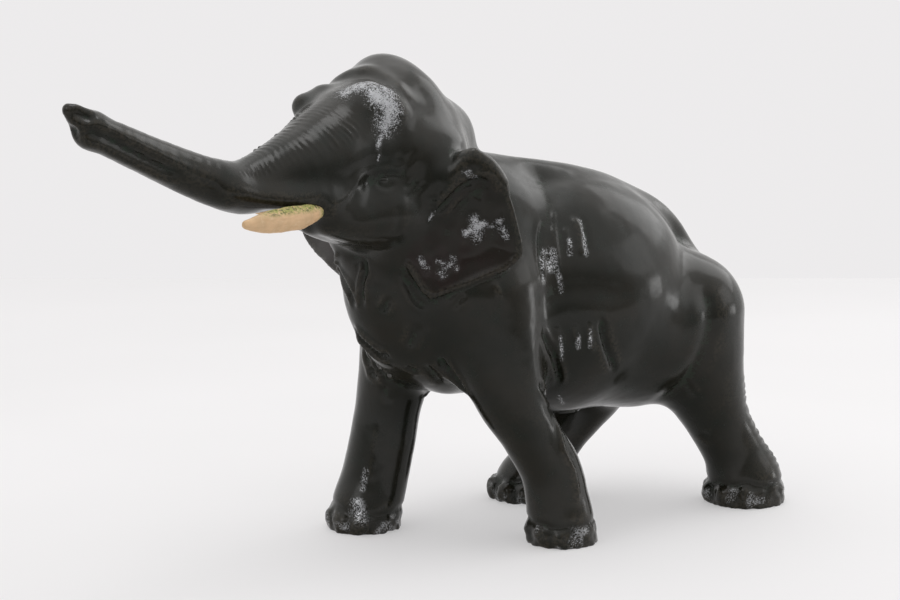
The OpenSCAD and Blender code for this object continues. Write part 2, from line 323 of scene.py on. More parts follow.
def sculpt(clay):
    add, carve = clay.merge, lambda shape, soft: clay.merge(shape, soft, True)
    # trunk of the body
    add(ellipsoid((66.5, 0, 100), (65, 45, 53)), 2)
    add(ellipsoid((106, 0, 82), (43, 39.5, 37)), 8)
    add(ellipsoid((18, 0, 110), (42, 36, 46)), 8)
    add(limb([[-16.5, -3, 136, 19], [-19.5, -2, 112, 21], [-10, -1, 91, 20.5], [8, 0, 80, 18]]), 8)
    add(limb([[22, 0, 151.5, 10], [45, 0, 150, 9.6], [68, 0, 146.5, 9], [98, 0, 138, 8.5], [122, 0, 128, 8.5],
              [141, 0, 109, 6.5], [151, 0, 94, 4.5]]), 7)
    add(limb([[149, 0, 101, 4.5], [161, -1, 85, 3], [169, -2, 65, 2.6],
              [173, -3, 46, 2.4], [174, -3, 37, 3]]), 3)
    add(limb([[24, 0, 133, 26], [11, 0, 139, 23.5], [-2, 3, 149, 18.5]]), 9)
    # skull, brows and the two domes of the crown
    add(head_ball((3.5, 0, 17), (20.2, 21.3, 20.2)), 9)
    add(head_ball((-10, 6.5, 9), (17.3, 17, 18.5)), 9)
    add(head_ball((-10, -6.5, 9), (17.3, 17, 18.5)), 9)
    add(head_limb([[3.5, 0, 22.8, 17.8], [-12, 0, 15, 16.2], [-26.5, 0, 9, 14.8]]), 8)
    add(head_ball((2, 5, 24), (14, 14, 14)), 7)
    add(head_ball((0, -6, 30), (14.2, 14.2, 14.2)), 7)
    add(head_ball((-26.5, 0, 8.5), (15, 15, 15)), 9)
    add(head_ball((-9.5, 0, -2.5), (23, 23, 23)), 9)
    add(head_limb([[28, 10, 24, 10], [22, 14, 23.5, 8], [20.5, 15.5, 15.5, 6.5], [28, 16, 5, 5]]), 10)
    add(head_limb([[15.5, -10, 24.5, 10.5], [26.5, -14, 24.5, 7.5], [36, -16, 24, 5.5]]), 7)
    add(head_limb([[10, 0, 18, 20.2], [26.5, 0, 12.5, 19], [42, 0, 7, 16.7]]), 6)
    # cheeks and jaw
    add(head_ball((14, 8, -7), (24, 13, 12)), 8)
    add(head_ball((14, -8, -7), (24, 13, 12)), 8)
    add(head_limb([[-6, 13, -17, 13.2], [18, 13, -18, 13.2], [38, 10.5, -18.5, 10.2],
                   [51, 9, -17.5, 7.4]]), 12)
    add(head_limb([[-8, -13, -14.5, 13.2], [14, -13, -17, 13.2], [36, -9.5, -18, 9], [48, -8, -17, 6.5]]), 12)
    for side in (12.3, -12.3):
        add(head_limb([[42, 0.94 * side, -14.2, 5.5], [56, side, -14, 4.1]], 2), 3)
        add(head_limb([
            [45, 0.95 * side, -7, 4.8], [56, 0.96 * side, -7.8, 4.2], [66, 0.88 * side, -8.2, 3.9],
            [76, 0.68 * side, -8.2, 3.6], [86, 0.36 * side, -7, 3.4], [96, 0.1 * side, -4.5, 3.5]], 4), 7)
    add(head_ball((3, 11, -29), (17, 11, 13)), 10)
    add(head_ball((3, -11, -29), (17, 11, 13)), 10)
    add(head_limb([[-3.5, 0, -23.5, 11.5], [28, 0, -23.5, 6.8], [45, 0, -21.5, 4], [52.5, 0, -20, 2.8]]), 7)
    for side in (1, -1):
        add(head_ball((1, 22 * side, 5), (13, 9, 10)), 12)
        add(head_ball((12, 15.5 * side, 5), (11, 8.5, 11)), 12)
    add(limb(TRUNK), 6)
    add(round_cone(TRUNK[-1][:3], (-177.5, -35, 188.3), 6.4, 2.5), 3)
    for route in LEGS.values():
        add(limb(route), 10)
    for side in (1, -1):
        add(ear(side), 1.3)
        roll = [(-5, -8, -5, 7), (3, -15, -3, 6.2), (11, -19.5, -1.4, 4.6), (19, -17.5, -0.4, 3),
                (23.5, -13, 0.3, 2.2)]
        add(limb([[*on_ear(side, *row[:3]), row[3]] for row in roll]), 7)


# ---- surface work
def relax(points, quads, rounds):
    """Evens out the grid's ripples, without shrinking the form."""
    a, b = quads.ravel(), np.roll(quads, -1, axis=1).ravel()
    size = len(points)
    count = (np.bincount(a, minlength=size) + np.bincount(b, minlength=size))[:, None]
    for turn_number in range(2 * rounds):
        weight = 0.5 if turn_number % 2 == 0 else -0.52
        total = np.stack(
            [np.bincount(a, points[b, i], size) + np.bincount(b, points[a, i], size) for i in range(3)], 1)
        points = points + weight * (total / count - points)
    return points


def average(values, quads, rounds):
    """Spreads a value over neighbouring vertices."""
    a, b = quads.ravel(), np.roll(quads, -1, axis=1).ravel()
    size = len(values)
    count = np.bincount(a, minlength=size) + np.bincount(b, minlength=size)
    for _ in range(rounds):
        values = (np.bincount(a, values[b], size) + np.bincount(b, values[a], size)) / count
    return values


def normals_of(points, quads):
    p = points[quads]
    face = np.cross(p[:, 2] - p[:, 0], p[:, 3] - p[:, 1])
    total = np.zeros_like(points)
    for corner in range(4):
        for i in range(3):
            total[:, i] += np.bincount(quads[:, corner], face[:, i], len(points))
    return total / (np.linalg.norm(total, axis=1, keepdims=True) + 1e-9)


def lumps(points, size, seed):
    """Smooth random values from -1 to 1, about one swing per size units."""
    lattice = np.random.default_rng(seed).uniform(-1, 1, (32, 32, 32))
    q = points / size
    base = np.floor(q).astype(int)
    part = q - base
    part = part * part * (3 - 2 * part)
    total = np.zeros(len(points))
    for corner in range(8):
        bits = [(corner >> i) & 1 for i in range(3)]
        weight = np.ones(len(points))
        for i, bit in enumerate(bits):
            weight = weight * (part[:, i] if bit else 1 - part[:, i])
        cell = [(base[:, i] + bits[i]) % 32 for i in range(3)]
        total += weight * lattice[cell[0], cell[1], cell[2]]
    return total


def ramp(x, low, high):
    t = np.clip((x - low) / (high - low), 0, 1)
    return t * t * (3 - 2 * t)


class Skin:
    """The cast surface: folds and creases are pressed into it along lines."""

    def __init__(self, points, quads):
        self.points, self.quads = points, quads
        self.normals = normals_of(points, quads)
        self.rise = np.zeros(len(points))

    def near_line(self, route, reach):
        """Vertices near a line on the surface, their distance to it and how far along it they are."""
        path = curve(route, 6)
        low, high = path.min(0) - reach, path.max(0) + reach
        inside = np.flatnonzero(np.all((self.points > low) & (self.points < high), axis=1))
        if not len(inside):
            return inside, np.zeros(0), np.zeros(0)
        p = self.points[inside]
        facing = np.zeros(3)
        for place in path[:: max(len(path) // 5, 1)]:
            facing += self.normals[inside[np.argmin(((p - place) ** 2).sum(1))]]
        facing /= np.linalg.norm(facing) + 1e-9
        best = np.full(len(inside), 1e9)
        along = np.zeros(len(inside))
        for i, (a, b) in enumerate(zip(path, path[1:])):
            ab = b - a
            t = np.clip(((p - a) @ ab) / (ab @ ab + 1e-9), 0, 1)
            gap = p - a - t[:, None] * ab
            d = (gap ** 2).sum(1)
            closer = d < best
            best[closer] = d[closer]
            along[closer] = ((i + t) / (len(path) - 1))[closer]
        same_face = self.normals[inside] @ facing > -0.2
        keep = (best < reach * reach) & same_face
        return inside[keep], np.sqrt(best[keep]), along[keep]

    def press(self, route, width, height, lip=0.0):
        """Raises a rounded line, or presses a crease in, with raised lips beside it."""
        index, gap, along = self.near_line(route, 3.5 * width)
        profile = np.exp(-(gap / width) ** 2)
        if lip:
            profile = profile - lip * np.exp(-((gap - 2.1 * width) / width) ** 2)
        fade = ramp(np.minimum(along, 1 - along), 0, 0.22)
        np.add.at(self.rise, index, height * profile * fade)

    def swell(self, centre, reach, height):
        """A broad swelling, or a hollow, about a point."""
        d2 = (((self.points - centre) / reach) ** 2).sum(1)
        self.rise += height * np.exp(-d2)

    def settle(self):
        """Moves the surface by everything pressed into it so far."""
        self.points = self.points + self.normals * self.rise[:, None]
        self.normals = normals_of(self.points, self.quads)
        self.rise = np.zeros(len(self.points))


def spaced(*spans):
    """Grid lines over joined spans of (start, end, step)."""
    return np.concatenate([np.arange(a, b, step) for a, b, step in spans])


def mesh_piece(name, points, quads, material):
    """A smooth-shaded piece in metres that rides on the root body."""
    mesh = bpy.data.meshes.new(name)
    mesh.vertices.add(len(points))
    mesh.vertices.foreach_set("co", (points * UNIT).astype(np.float32).ravel())
    mesh.loops.add(quads.size)
    mesh.loops.foreach_set("vertex_index", quads.astype(np.int32).ravel())
    mesh.polygons.add(len(quads))
    mesh.polygons.foreach_set("loop_start", np.arange(0, quads.size, quads.shape[1], dtype=np.int32))
    mesh.update(calc_edges=True)
    mesh.polygons.foreach_set("use_smooth", np.ones(len(quads), bool))
    mesh.materials.append(material)
    piece = bpy.data.objects.new(name, mesh)
    bpy.context.scene.collection.objects.link(piece)
    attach(piece, "root")
    return piece


def paint(piece, name, values):
    """Stores a value per vertex for the material to read."""
    layer = piece.data.attributes.new(name, "FLOAT", "POINT")
    layer.data.foreach_set("value", np.asarray(values, np.float32))


# ---- materials
class Nodes:
    """A short way to write a node tree."""

    def __init__(self, name):
        self.material = bpy.data.materials.new(name)
        self.material.use_nodes = True
        self.tree = self.material.node_tree
        self.shader = self.tree.nodes["Principled BSDF"]

    def add(self, kind, **settings):
        node = self.tree.nodes.new(kind)
        for key, value in settings.items():
            setattr(node, key, value)
        return node

    def join(self, source, target):
        self.tree.links.new(source, target)

    def feed(self, socket, value):
        if hasattr(value, "node"):
            self.join(value, socket)
        else:
            socket.default_value = value

    def place(self, stretch=(1, 1, 1)):
        """Object coordinates in units, stretched so that patterns can run along an axis."""
        where = self.add("ShaderNodeTexCoord")
        scale = self.add("ShaderNodeMapping")
        scale.inputs["Scale"].default_value = [s / UNIT for s in stretch]
        self.join(where.outputs["Object"], scale.inputs["Vector"])
        return scale.outputs["Vector"]

    def noise(self, size, detail=3.0, rough=0.55, place=None, warp=0.0):
        node = self.add("ShaderNodeTexNoise")
        self.join(place or self.place(), node.inputs["Vector"])
        node.inputs["Scale"].default_value = 1.0 / size
        node.inputs["Detail"].default_value = detail
        node.inputs["Roughness"].default_value = rough
        node.inputs["Distortion"].default_value = warp
        return node.outputs["Fac"]

    def read(self, name):
        node = self.add("ShaderNodeAttribute", attribute_name=name)
        return node.outputs["Fac"]

    def math(self, operation, a, b=0.0):
        node = self.add("ShaderNodeMath", operation=operation)
        self.feed(node.inputs[0], a)
        self.feed(node.inputs[1], b)
        return node.outputs[0]

    def times(self, a, b):
        return self.math("MULTIPLY", a, b)

    def plus(self, a, b):
        return self.math("ADD", a, b)

    def span(self, value, low, high, to_low=0.0, to_high=1.0):
        node = self.add("ShaderNodeMapRange", interpolation_type="SMOOTHSTEP")
        settings = {"Value": value, "From Min": low, "From Max": high, "To Min": to_low, "To Max": to_high}
        for key, item in settings.items():
            self.feed(node.inputs[key], item)
        return node.outputs["Result"]

    def mix(self, factor, a, b):
        node = self.add("ShaderNodeMix", data_type="RGBA")
        self.feed(node.inputs["Factor"], factor)
        for key, colour in (("A", a), ("B", b)):
            socket = [s for s in node.inputs if s.name == key and s.type == "RGBA"][0]
            self.feed(socket, colour if hasattr(colour, "node") else (*colour, 1))
        return [s for s in node.outputs if s.type == "RGBA"][0]

    def blend(self, factor, a, b):
        node = self.add("ShaderNodeMix", data_type="FLOAT")
        for key, item in (("Factor", factor), ("A", a), ("B", b)):
            self.feed([s for s in node.inputs if s.name == key and s.type == "VALUE"][0], item)
        return [s for s in node.outputs if s.type == "VALUE"][0]

    def bump(self, height, depth, below=None):
        """Relief of this many units; bumps can be stacked."""
        node = self.add("ShaderNodeBump")
        node.inputs["Strength"].default_value = 1.0
        node.inputs["Distance"].default_value = depth * UNIT
        self.join(height, node.inputs["Height"])
        if below is not None:
            self.join(below, node.inputs["Normal"])
        return node.outputs["Normal"]

    def finish(self, colour, roughness, normal, metallic=0.0, coat=0.0, coat_rough=0.2, specular=0.5):
        self.feed(self.shader.inputs["Base Color"], colour)
        self.feed(self.shader.inputs["Roughness"], roughness)
        self.feed(self.shader.inputs["Metallic"], metallic)
        self.shader.inputs["Coat Weight"].default_value = coat
        self.shader.inputs["Coat Roughness"].default_value = coat_rough
        self.feed(self.shader.inputs["Specular IOR Level"], specular)
        self.join(normal, self.shader.inputs["Normal"])
        return self.material


def bronze_material(name, carved):
    """Near-black waxed patina: brown shifts, green in the hollows, brighter where it is rubbed, and pale grey
    metal on marked patches that is partly wear and partly painted highlight.
    """
    n = Nodes(name)
    drift = n.noise(34, 3, 0.6)
    cloud = n.noise(9, 4, 0.6)
    grain = n.noise(1.1, 3, 0.6)
    fine = n.noise(0.35, 2, 0.6)
    colour = n.mix(n.span(drift, 0.35, 0.68), (0.0088, 0.0094, 0.0064), (0.0132, 0.0118, 0.0078))
    colour = n.mix(n.span(cloud, 0.5, 0.75, 0, 0.6), colour, (0.0066, 0.0104, 0.0068))
    rough = n.blend(n.span(cloud, 0.3, 0.72), 0.16, 0.25)
    rough = n.plus(rough, n.span(grain, 0.3, 0.75, -0.02, 0.05))
    metal = 0.0
    wax = 0.33
    if carved:
        hollow = n.span(n.read("hollow"), 0.15, 0.8)
        verdigris = n.times(hollow, n.span(n.noise(3.2, 4, 0.65), 0.42, 0.66))
        colour = n.mix(n.times(verdigris, 0.45), colour, (0.024, 0.042, 0.027))
        rough = n.blend(verdigris, rough, 0.6)
        inner = n.read("ear_inner")
        blotch = n.span(n.noise(6, 3, 0.6), 0.35, 0.62)
        colour = n.mix(n.times(inner, n.blend(blotch, 0.5, 1.0)), colour, (0.0135, 0.0078, 0.0060))
        rough = n.blend(n.times(inner, 0.7), rough, 0.22)
        wax = n.blend(n.read("beneath"), 0.33, 0.13)
        worn = n.span(n.noise(1.4, 4, 0.7), 0.40, 0.60)
        worn = n.times(n.span(n.read("rubbed"), 0.25, 0.95), worn)
        colour = n.mix(n.times(worn, 0.35), colour, (0.06, 0.05, 0.036))
        # Scuff and spark marks: pale grey metal, partly bare-metal wear and partly painted highlights and
        # glints.
        streak = n.noise(1.15, 5, 0.75, n.place((0.75, 0.75, 1.3)), 2.2)
        patchy = n.noise(5.5, 3, 0.6)
        marks = n.read("scuff_and_highlight")
        level = n.math("ABSOLUTE", n.math("SUBTRACT", n.noise(1.9, 4, 0.6, None, 1.2), 0.5))
        crinkle = n.span(level, 0.0, 0.05, 0.16, 0)
        reach = n.plus(n.times(marks, 0.4), n.times(patchy, 0.45))
        bare_and_highlight = n.span(n.plus(n.plus(streak, crinkle), reach), 1.03, 1.19)
        bare_and_highlight = n.times(bare_and_highlight, n.span(marks, 0.12, 0.45))
        # fine dots of pale metal: painted glints, partly wear
        dots = n.plus(n.noise(0.6, 3, 0.7), n.times(patchy, 0.4))
        painted_sparkle = n.times(n.span(dots, 0.68, 0.80), n.span(n.read("wear_and_glint"), 0.1, 0.8))
        bare_and_highlight = n.math("MAXIMUM", bare_and_highlight, painted_sparkle)
        # light grey metal painted on the marks, standing in for highlights and glints as well as wear
        colour = n.mix(n.times(bare_and_highlight, 0.9), colour, (0.57, 0.58, 0.60))
        metal = n.times(bare_and_highlight, 0.85)
        rough = n.blend(bare_and_highlight, rough, 0.3)
    relief = n.plus(n.times(grain, 0.6), n.times(fine, 0.25))
    normal = n.bump(relief, 0.016)
    if carved:
        scratch = n.times(n.read("scuff_and_highlight"), n.noise(1.0, 5, 0.75, n.place((0.7, 0.7, 1.3)), 2.0))
        normal = n.bump(scratch, 0.6, normal)
    return n.finish(colour, rough, normal, metal, 0.05, 0.08, wax)


def bone_material():
    """Tan bone: long fibre streaks, paler wear, and green where it meets the bronze."""
    n = Nodes("tusk_bone")
    fibre = n.noise(1.1, 4, 0.65, n.place((0.16, 0.3, 1.3)), 0.4)
    cloud = n.noise(7, 3, 0.55)
    colour = n.mix(n.span(cloud, 0.3, 0.7), (0.72, 0.48, 0.27), (0.60, 0.41, 0.23))
    colour = n.mix(n.span(fibre, 0.45, 0.75, 0, 0.5), colour, (0.50, 0.31, 0.15))
    pale = n.span(n.noise(3.5, 4, 0.6), 0.56, 0.74, 0, 0.6)
    colour = n.mix(pale, colour, (0.80, 0.60, 0.38))
    stain = n.times(n.read("stain"), n.span(n.noise(1.5, 5, 0.7), 0.36, 0.55))
    colour = n.mix(stain, colour, (0.36, 0.36, 0.11))
    dark = n.times(n.read("stain"), n.span(n.noise(1.3, 4, 0.7), 0.53, 0.58))
    colour = n.mix(n.times(dark, 0.85), colour, (0.055, 0.075, 0.02))
    rough = n.blend(stain, n.span(cloud, 0.3, 0.7, 0.42, 0.56), 0.8)
    pits = n.plus(n.times(fibre, 0.5), n.times(n.noise(0.8, 4, 0.7), 0.5))
    return n.finish(colour, rough, n.bump(pits, 0.16), 0.0, 0.06, 0.3, 0.4)


def wood_material():
    """Turned dowel: grain lines along the rod."""
    n = Nodes("dowel_wood")
    rings = n.noise(0.7, 4, 0.6, n.place((0.12, 1.0, 1.0)), 0.6)
    colour = n.mix(n.span(rings, 0.35, 0.7), (0.42, 0.26, 0.13), (0.25, 0.14, 0.065))
    return n.finish(colour, n.span(rings, 0.3, 0.8, 0.5, 0.72), n.bump(rings, 0.08), 0.0, 0.0, 0.3, 0.35)


# ---- folds of the hide
# Each is (repeated on, width, height, lip, points on the left side). A height below 0 is a crease.
ONCE, BODY, FACE, EAR = range(4)
FOLDS = [
    # crown ridge
    (FACE, 3.2, 0.7, 0, [(-39, -2, 198), (-35, -10, 198), (-32, -23, 194), (-27, -27, 188),
        (-14, -26, 184)]),
    # hollow between crown and brow
    (FACE, 3.2, -0.6, 0, [(-43, -8, 195), (-39, -15, 196), (-36, -27, 191), (-29, -29, 184)]),
    # edge of the brow
    (FACE, 3.4, 0.8, 0, [(-49, -16, 193), (-44, -24, 193), (-38, -29, 189), (-34, -31, 184),
        (-35, -31, 178), (-42, -32, 172)]),
    # upper lid
    (FACE, 0.8, -0.4, 0.3, [(-47, -32, 156), (-45, -32, 158), (-42, -32, 158.6), (-39, -32, 158),
        (-35, -32, 157)]),
    # lower lid
    (FACE, 0.8, -0.35, 0.3, [(-47, -32, 156), (-45, -33, 154), (-42, -33, 153.6), (-38, -33, 155.5)]),
    # fold behind the eye
    (FACE, 1.2, -0.35, 0.3, [(-35, -31, 158), (-33, -29, 161), (-31, -28, 165), (-28, -27, 168)]),
    # crow's feet
    (FACE, 0.9, -0.3, 0.3, [(-35, -34, 153), (-32, -33, 154), (-26, -30, 156)]),
    (FACE, 0.9, -0.3, 0.3, [(-35, -35, 149), (-32, -34, 150), (-27, -32, 153), (-23, -30, 155)]),
    # ridge from the tusk up and over the eye
    (FACE, 1.9, 0.5, 0.1, [(-76, -34, 148), (-72, -34, 149), (-68, -34, 150), (-63, -33, 152),
        (-60, -33, 155), (-56, -33, 158), (-50, -32, 160), (-45, -32, 161), (-40, -32, 161), (-35, -31, 161),
        (-32, -29, 163), (-29, -27, 167)]),
    # cheek fold
    (FACE, 2.0, -0.25, 0, [(-38, -35, 147), (-38, -35, 143), (-39, -33, 138), (-41, -31, 134)]),
    # skin folds before the ear
    (FACE, 0.9, -0.5, 0.3, [(-24, -33, 148), (-20, -32, 149), (-15, -30, 150)]),
    (FACE, 0.9, -0.5, 0.3, [(-23, -33, 145), (-19, -32, 146), (-16, -32, 148)]),
    (FACE, 0.9, -0.5, 0.3, [(-23, -32, 142), (-19, -32, 144), (-17, -32, 145)]),
    # ear fold
    (EAR, 1.5, -1.25, 0.5, [(-3, 1.4), (0.9, -3.5), (6, -10.8), (10.5, -13.5), (16, -15.4), (21.5, -14)]),
    # inner ear fold
    (EAR, 1.0, -0.3, 0.2, [(6, -7), (10, -9.5), (15, -8), (17, -4)]),
    # ear rim
    (EAR, 1.1, 1.15, 0, [(24, -13), (26.3, -8), (29.2, 1), (31.6, 10), (32, 15.5), (30.3, 18.5), (26.3, 21.6),
        (20.5, 24.6), (10.2, 28), (2.2, 31.4), (-3.2, 33.6)]),
    # ear front rim
    (EAR, 1.1, 1.15, 0, [(-3.4, 33.6), (-6.6, 29.4), (-11.7, 21.2), (-14.4, 16.6)]),
    # ear ribs and hollows
    (EAR, 3.0, 0.6, 0, [(14, -2), (13, 7), (8, 16)]),
    (EAR, 2.6, 0.5, 0, [(24, -3), (25, 6), (23, 14)]),
    (EAR, 3.0, -0.6, 0, [(4, 2), (3, 12), (5, 22)]),
    # throat folds
    (ONCE, 1.2, -1.2, 0.6, [(-39, 11, 124), (-38, 9, 119), (-39, 4, 113), (-40, -2, 108), (-38, -3, 101)]),
    (ONCE, 1.0, -1.0, 0.6, [(-39, -10, 124), (-39, -11, 118), (-39, -9, 112), (-38, -8, 101)]),
    # fold behind the jaw
    (BODY, 1.2, -0.5, 0.5, [(-29, -21, 120), (-26, -22, 114), (-22, -23, 107), (-17, -24, 102)]),
    # chest dimple
    (ONCE, 1.2, -0.9, 0.4, [(-34, -16, 101), (-33, -17, 104), (-32, -19, 108)]),
    # lower edge of the chest
    (ONCE, 1.6, -2.2, 0.7, [(-35, 5, 93), (-33, -2, 87), (-29, -6, 83), (-26, -10, 82)]),
    (ONCE, 1.9, -1.1, 0.2, [(-20, -21, 96), (-21, -20, 90), (-22, -17, 86)]),
    # arm pit folds
    (ONCE, 1.2, -1.2, 0.6, [(-17, 17, 74), (-15, 12, 71), (-18, -2, 72)]),
    (ONCE, 1.0, -0.9, 0.5, [(-20, -12, 78), (-17, -13, 76), (-14, -14, 75)]),
    # front of the left arm
    (BODY, 1.5, -1.6, 0.5, [(-11, -22, 83), (-7, -21, 78), (-2, -22, 73), (1, -23, 68), (5, -22, 62)]),
    (BODY, 1.5, -0.9, 0.3, [(-15, -17, 79), (-8, -15, 73), (-2, -12, 68)]),
    # behind ear ridge
    (BODY, 1.2, 0.5, 0, [(3, -41, 114), (4, -42, 111), (6, -43, 106)]),
    # under ear crease
    (BODY, 1.0, -0.5, 0.3, [(-6, -35, 109), (-8, -33, 106), (-10, -32, 103)]),
    # front leg ridge
    (ONCE, 2.2, 0.5, 0, [(-13, 20, 49), (-15, 21, 34), (-19, 20, 19)]),
    # inner fold
    (ONCE, 1.4, -0.5, 0.3, [(-12, 16, 65), (-11, 16, 60), (-8, 15, 57)]),
    # elbow
    (BODY, 1.2, -1.1, 0.5, [(27, -42, 92), (32, -40, 86), (37, -36, 79), (42, -33, 71), (45, -30, 65)]),
    (BODY, 1.3, -0.8, 0.5, [(23, -45, 71), (28, -43, 66), (34, -38, 61)]),
    # tendon
    (BODY, 1.3, 1.3, 0, [(32, -41, 58), (34, -44, 50), (35, -47, 42), (38, -48, 33), (40, -49, 25),
        (40, -50, 16)]),
    # behind tendon
    (BODY, 1.2, -0.8, 0, [(38, -40, 53), (38, -43, 48), (38, -46, 41), (41, -47, 34)]),
    # creases and ridges of the flank
    (BODY, 0.9, -0.8, 0.5, [(38, -28, 137), (34, -31, 130), (31, -35, 124), (29, -38, 117),
        (30, -39, 113)]),
    (BODY, 1.0, 0.8, 0, [(46, -24, 141), (43, -29, 135), (40, -34, 128), (39, -37, 120), (39, -39, 112)]),
    (BODY, 2.4, 0.6, 0, [(41, -30, 133), (37, -34, 126), (35, -36, 119)]),
    (BODY, 1.2, 0.7, 0, [(47, -32, 133), (45, -36, 127), (45, -38, 121)]),
    (BODY, 1.2, 0.9, 0, [(52, -30, 137), (51, -34, 131), (50, -38, 125), (50, -39, 120)]),
    (BODY, 1.2, -0.7, 0, [(55, -31, 137), (54, -36, 129), (52, -40, 121)]),
    (BODY, 1.3, -2.0, 0, [(56, -44, 96), (58, -43, 89), (62, -42, 81), (67, -40, 73), (71, -38, 67)]),
    (BODY, 1.4, 0.6, 0, [(36, -40, 93), (38, -39, 87), (42, -37, 78)]),
    (BODY, 1.4, 0.5, 0, [(44, -42, 93), (46, -41, 85)]),
    (BODY, 1.4, 0.7, 0, [(51, -43, 94), (52, -42, 86), (55, -41, 79)]),
    # valley behind the shoulder
    (BODY, 6, -1.0, 0, [(23, -42, 100), (38, -40, 107), (56, -43, 107), (77, -44, 101)]),
    # rear edge of the barrel
    (BODY, 4.5, -1.8, 0, [(104, -20, 50), (111, -28, 56), (115, -37, 66), (119, -40, 78), (121, -40, 88),
        (121, -38, 97), (120, -33, 106)]),
    # thigh folds
    (BODY, 1.2, -0.6, 0.4, [(113, -34, 59), (117, -33, 55), (121, -33, 53)]),
    # knee fold
    (BODY, 1.8, -0.5, 0.3, [(128, -27, 35), (130, -29, 33), (132, -31, 32)]),
    # groove along the side of the trunk
    (ONCE, 2.0, -2.1, 0.2, [(-174, -38, 182), (-171, -40, 180), (-164, -39, 177), (-156, -38, 173),
        (-147, -37, 169), (-139, -36, 165), (-131, -36, 162)]),
    # hollow under the finger of the trunk
    (ONCE, 1.5, -1.2, 0.5, [(-178, -37, 188), (-174, -38, 186.5), (-169, -39, 184.5)]),
]


def other_side(route, kind):
    """The same line on the figure's right side."""
    p = np.array(route, float)
    if kind == BODY:
        return p * (1, -1, 1)
    return p - 2 * ((p - HEAD) @ LEFT)[:, None] * LEFT


def snapped(skin, route):
    """The route's points, moved to the nearest point of the surface."""
    return np.array([skin.points[np.argmin(((skin.points - p) ** 2).sum(1))] for p in np.array(route, float)])


def along_limb(points, route, reach):
    """For points near a limb: which they are, their distance along it and their place round it."""
    path = curve(route, 12)
    low, high = path[:, :3].min(0) - reach, path[:, :3].max(0) + reach
    index = np.flatnonzero(np.all((points > low) & (points < high), axis=1))
    p = points[index]
    length = np.concatenate([[0], np.cumsum(np.linalg.norm(np.diff(path[:, :3], axis=0), axis=1))])
    best, run, radius = np.full(len(index), 1e9), np.zeros(len(index)), np.zeros(len(index))
    offset = np.zeros((len(index), 3))
    for i, (a, b) in enumerate(zip(path, path[1:])):
        ab = b[:3] - a[:3]
        t = np.clip(((p - a[:3]) @ ab) / (ab @ ab), 0, 1)
        gap = p - a[:3] - t[:, None] * ab
        d = (gap ** 2).sum(1)
        closer = d < best
        best[closer] = d[closer]
        run[closer] = (length[i] + t * (length[i + 1] - length[i]))[closer]
        radius[closer] = (a[3] + t * (b[3] - a[3]))[closer]
        offset[closer] = gap[closer]
    gap = np.sqrt(best)
    keep = gap < radius + 4
    return index[keep], run[keep], offset[keep] / (gap[keep, None] + 1e-9)


def wrinkle_trunk(skin):
    """Closely set rings over the top of the trunk, strongest at its root."""
    index, run, round_it = along_limb(skin.points, [[-36, -8, 173, 20]] + TRUNK, 26)
    p = skin.points[index]
    wander = 1.1 * lumps(p, 9, 11) + 0.5 * lumps(p, 3.5, 12)
    turned = round_it @ UP + 0.3 * (round_it @ LEFT)
    top = ramp(turned, 0.66, 0.86)
    brink = np.exp(-((turned - 0.78) / 0.09) ** 2)
    root = ramp(run, 16, 32) * (1 - ramp(run, 62, 86))
    depth = 0.15 + 0.85 * ramp(lumps(p, 4, 13), -0.4, 0.5)
    ring = np.sin(2 * np.pi * (run + wander) / 2.5)
    np.add.at(skin.rise, index, (0.12 * ring * top + 0.75 * np.maximum(ring, 0) ** 2 * brink) * root * depth)
    far = ramp(run, 70, 90)
    slow = np.sin(2 * np.pi * (run + 1.6 * wander) / 5.2)
    np.add.at(skin.rise, index, 0.03 * slow * far * (0.4 + 0.6 * ramp(round_it @ UP, -0.6, 0.6)))


def wrinkle_leg(skin, name, low, high, facing, depth):
    """Level wrinkles on one face of a leg between two heights."""
    index, _, round_it = along_limb(skin.points, LEGS[name], 24)
    p = skin.points[index]
    face = ramp(round_it @ np.array(facing), 0.2, 0.8)
    band = ramp(p[:, 2], low, low + 6) * (1 - ramp(p[:, 2], high - 8, high))
    wave = np.sin(2 * np.pi * (p[:, 2] + 2.2 * lumps(p, 8, 21) + 0.8 * lumps(p, 3, 22)) / 3.6)
    np.add.at(skin.rise, index, depth * wave * face * band)


def toes(clay, centre, radius):
    """Four blunt nails round the front of a foot."""
    for angle in (-62, -24, 14, 52):
        a = math.radians(180 + angle)
        spot = (centre[0] + (radius - 1.4) * math.cos(a), centre[1] + (radius - 1.4) * math.sin(a), 4.8)
        clay.merge(ellipsoid(spot, (3.0, 4.4, 5.0), math.degrees(a)), 1.2)


ANKLE_GROOVE = 0.6
SEAT_DEPTH = 0.6
FOOT_RADIUS = {"front_left": 14.6, "front_right": 15.6, "hind_left": 18.2, "hind_right": 16.8}


def middle(node):
    low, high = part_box(node)
    return (np.array(low) + np.array(high)) / 2 / UNIT


# ---- the casting
coarse = 1.0
clay = Clay([
    spaced((-184, -122, 0.95 * coarse), (-122, -38, 0.62 * coarse),
           (-38, 34, 0.95 * coarse), (34, 184, 1.3 * coarse)),
    spaced((-58, 58, 1.05 * coarse)),
    spaced((-4, 210, 1.05 * coarse)),
])
sculpt(clay)
for foot, radius in FOOT_RADIUS.items():
    toes(clay, middle("sole_" + foot), radius)
# mouth of the trunk: an oblique hollow under its finger
clay.merge(round_cone((-183, -35.5, 181), (-176.8, -34.8, 180), 4.6, 2.6), 1.6, carve=True)
# nothing below the ground
clay.field = np.maximum(clay.field, -clay.axes[2][None, None, :])

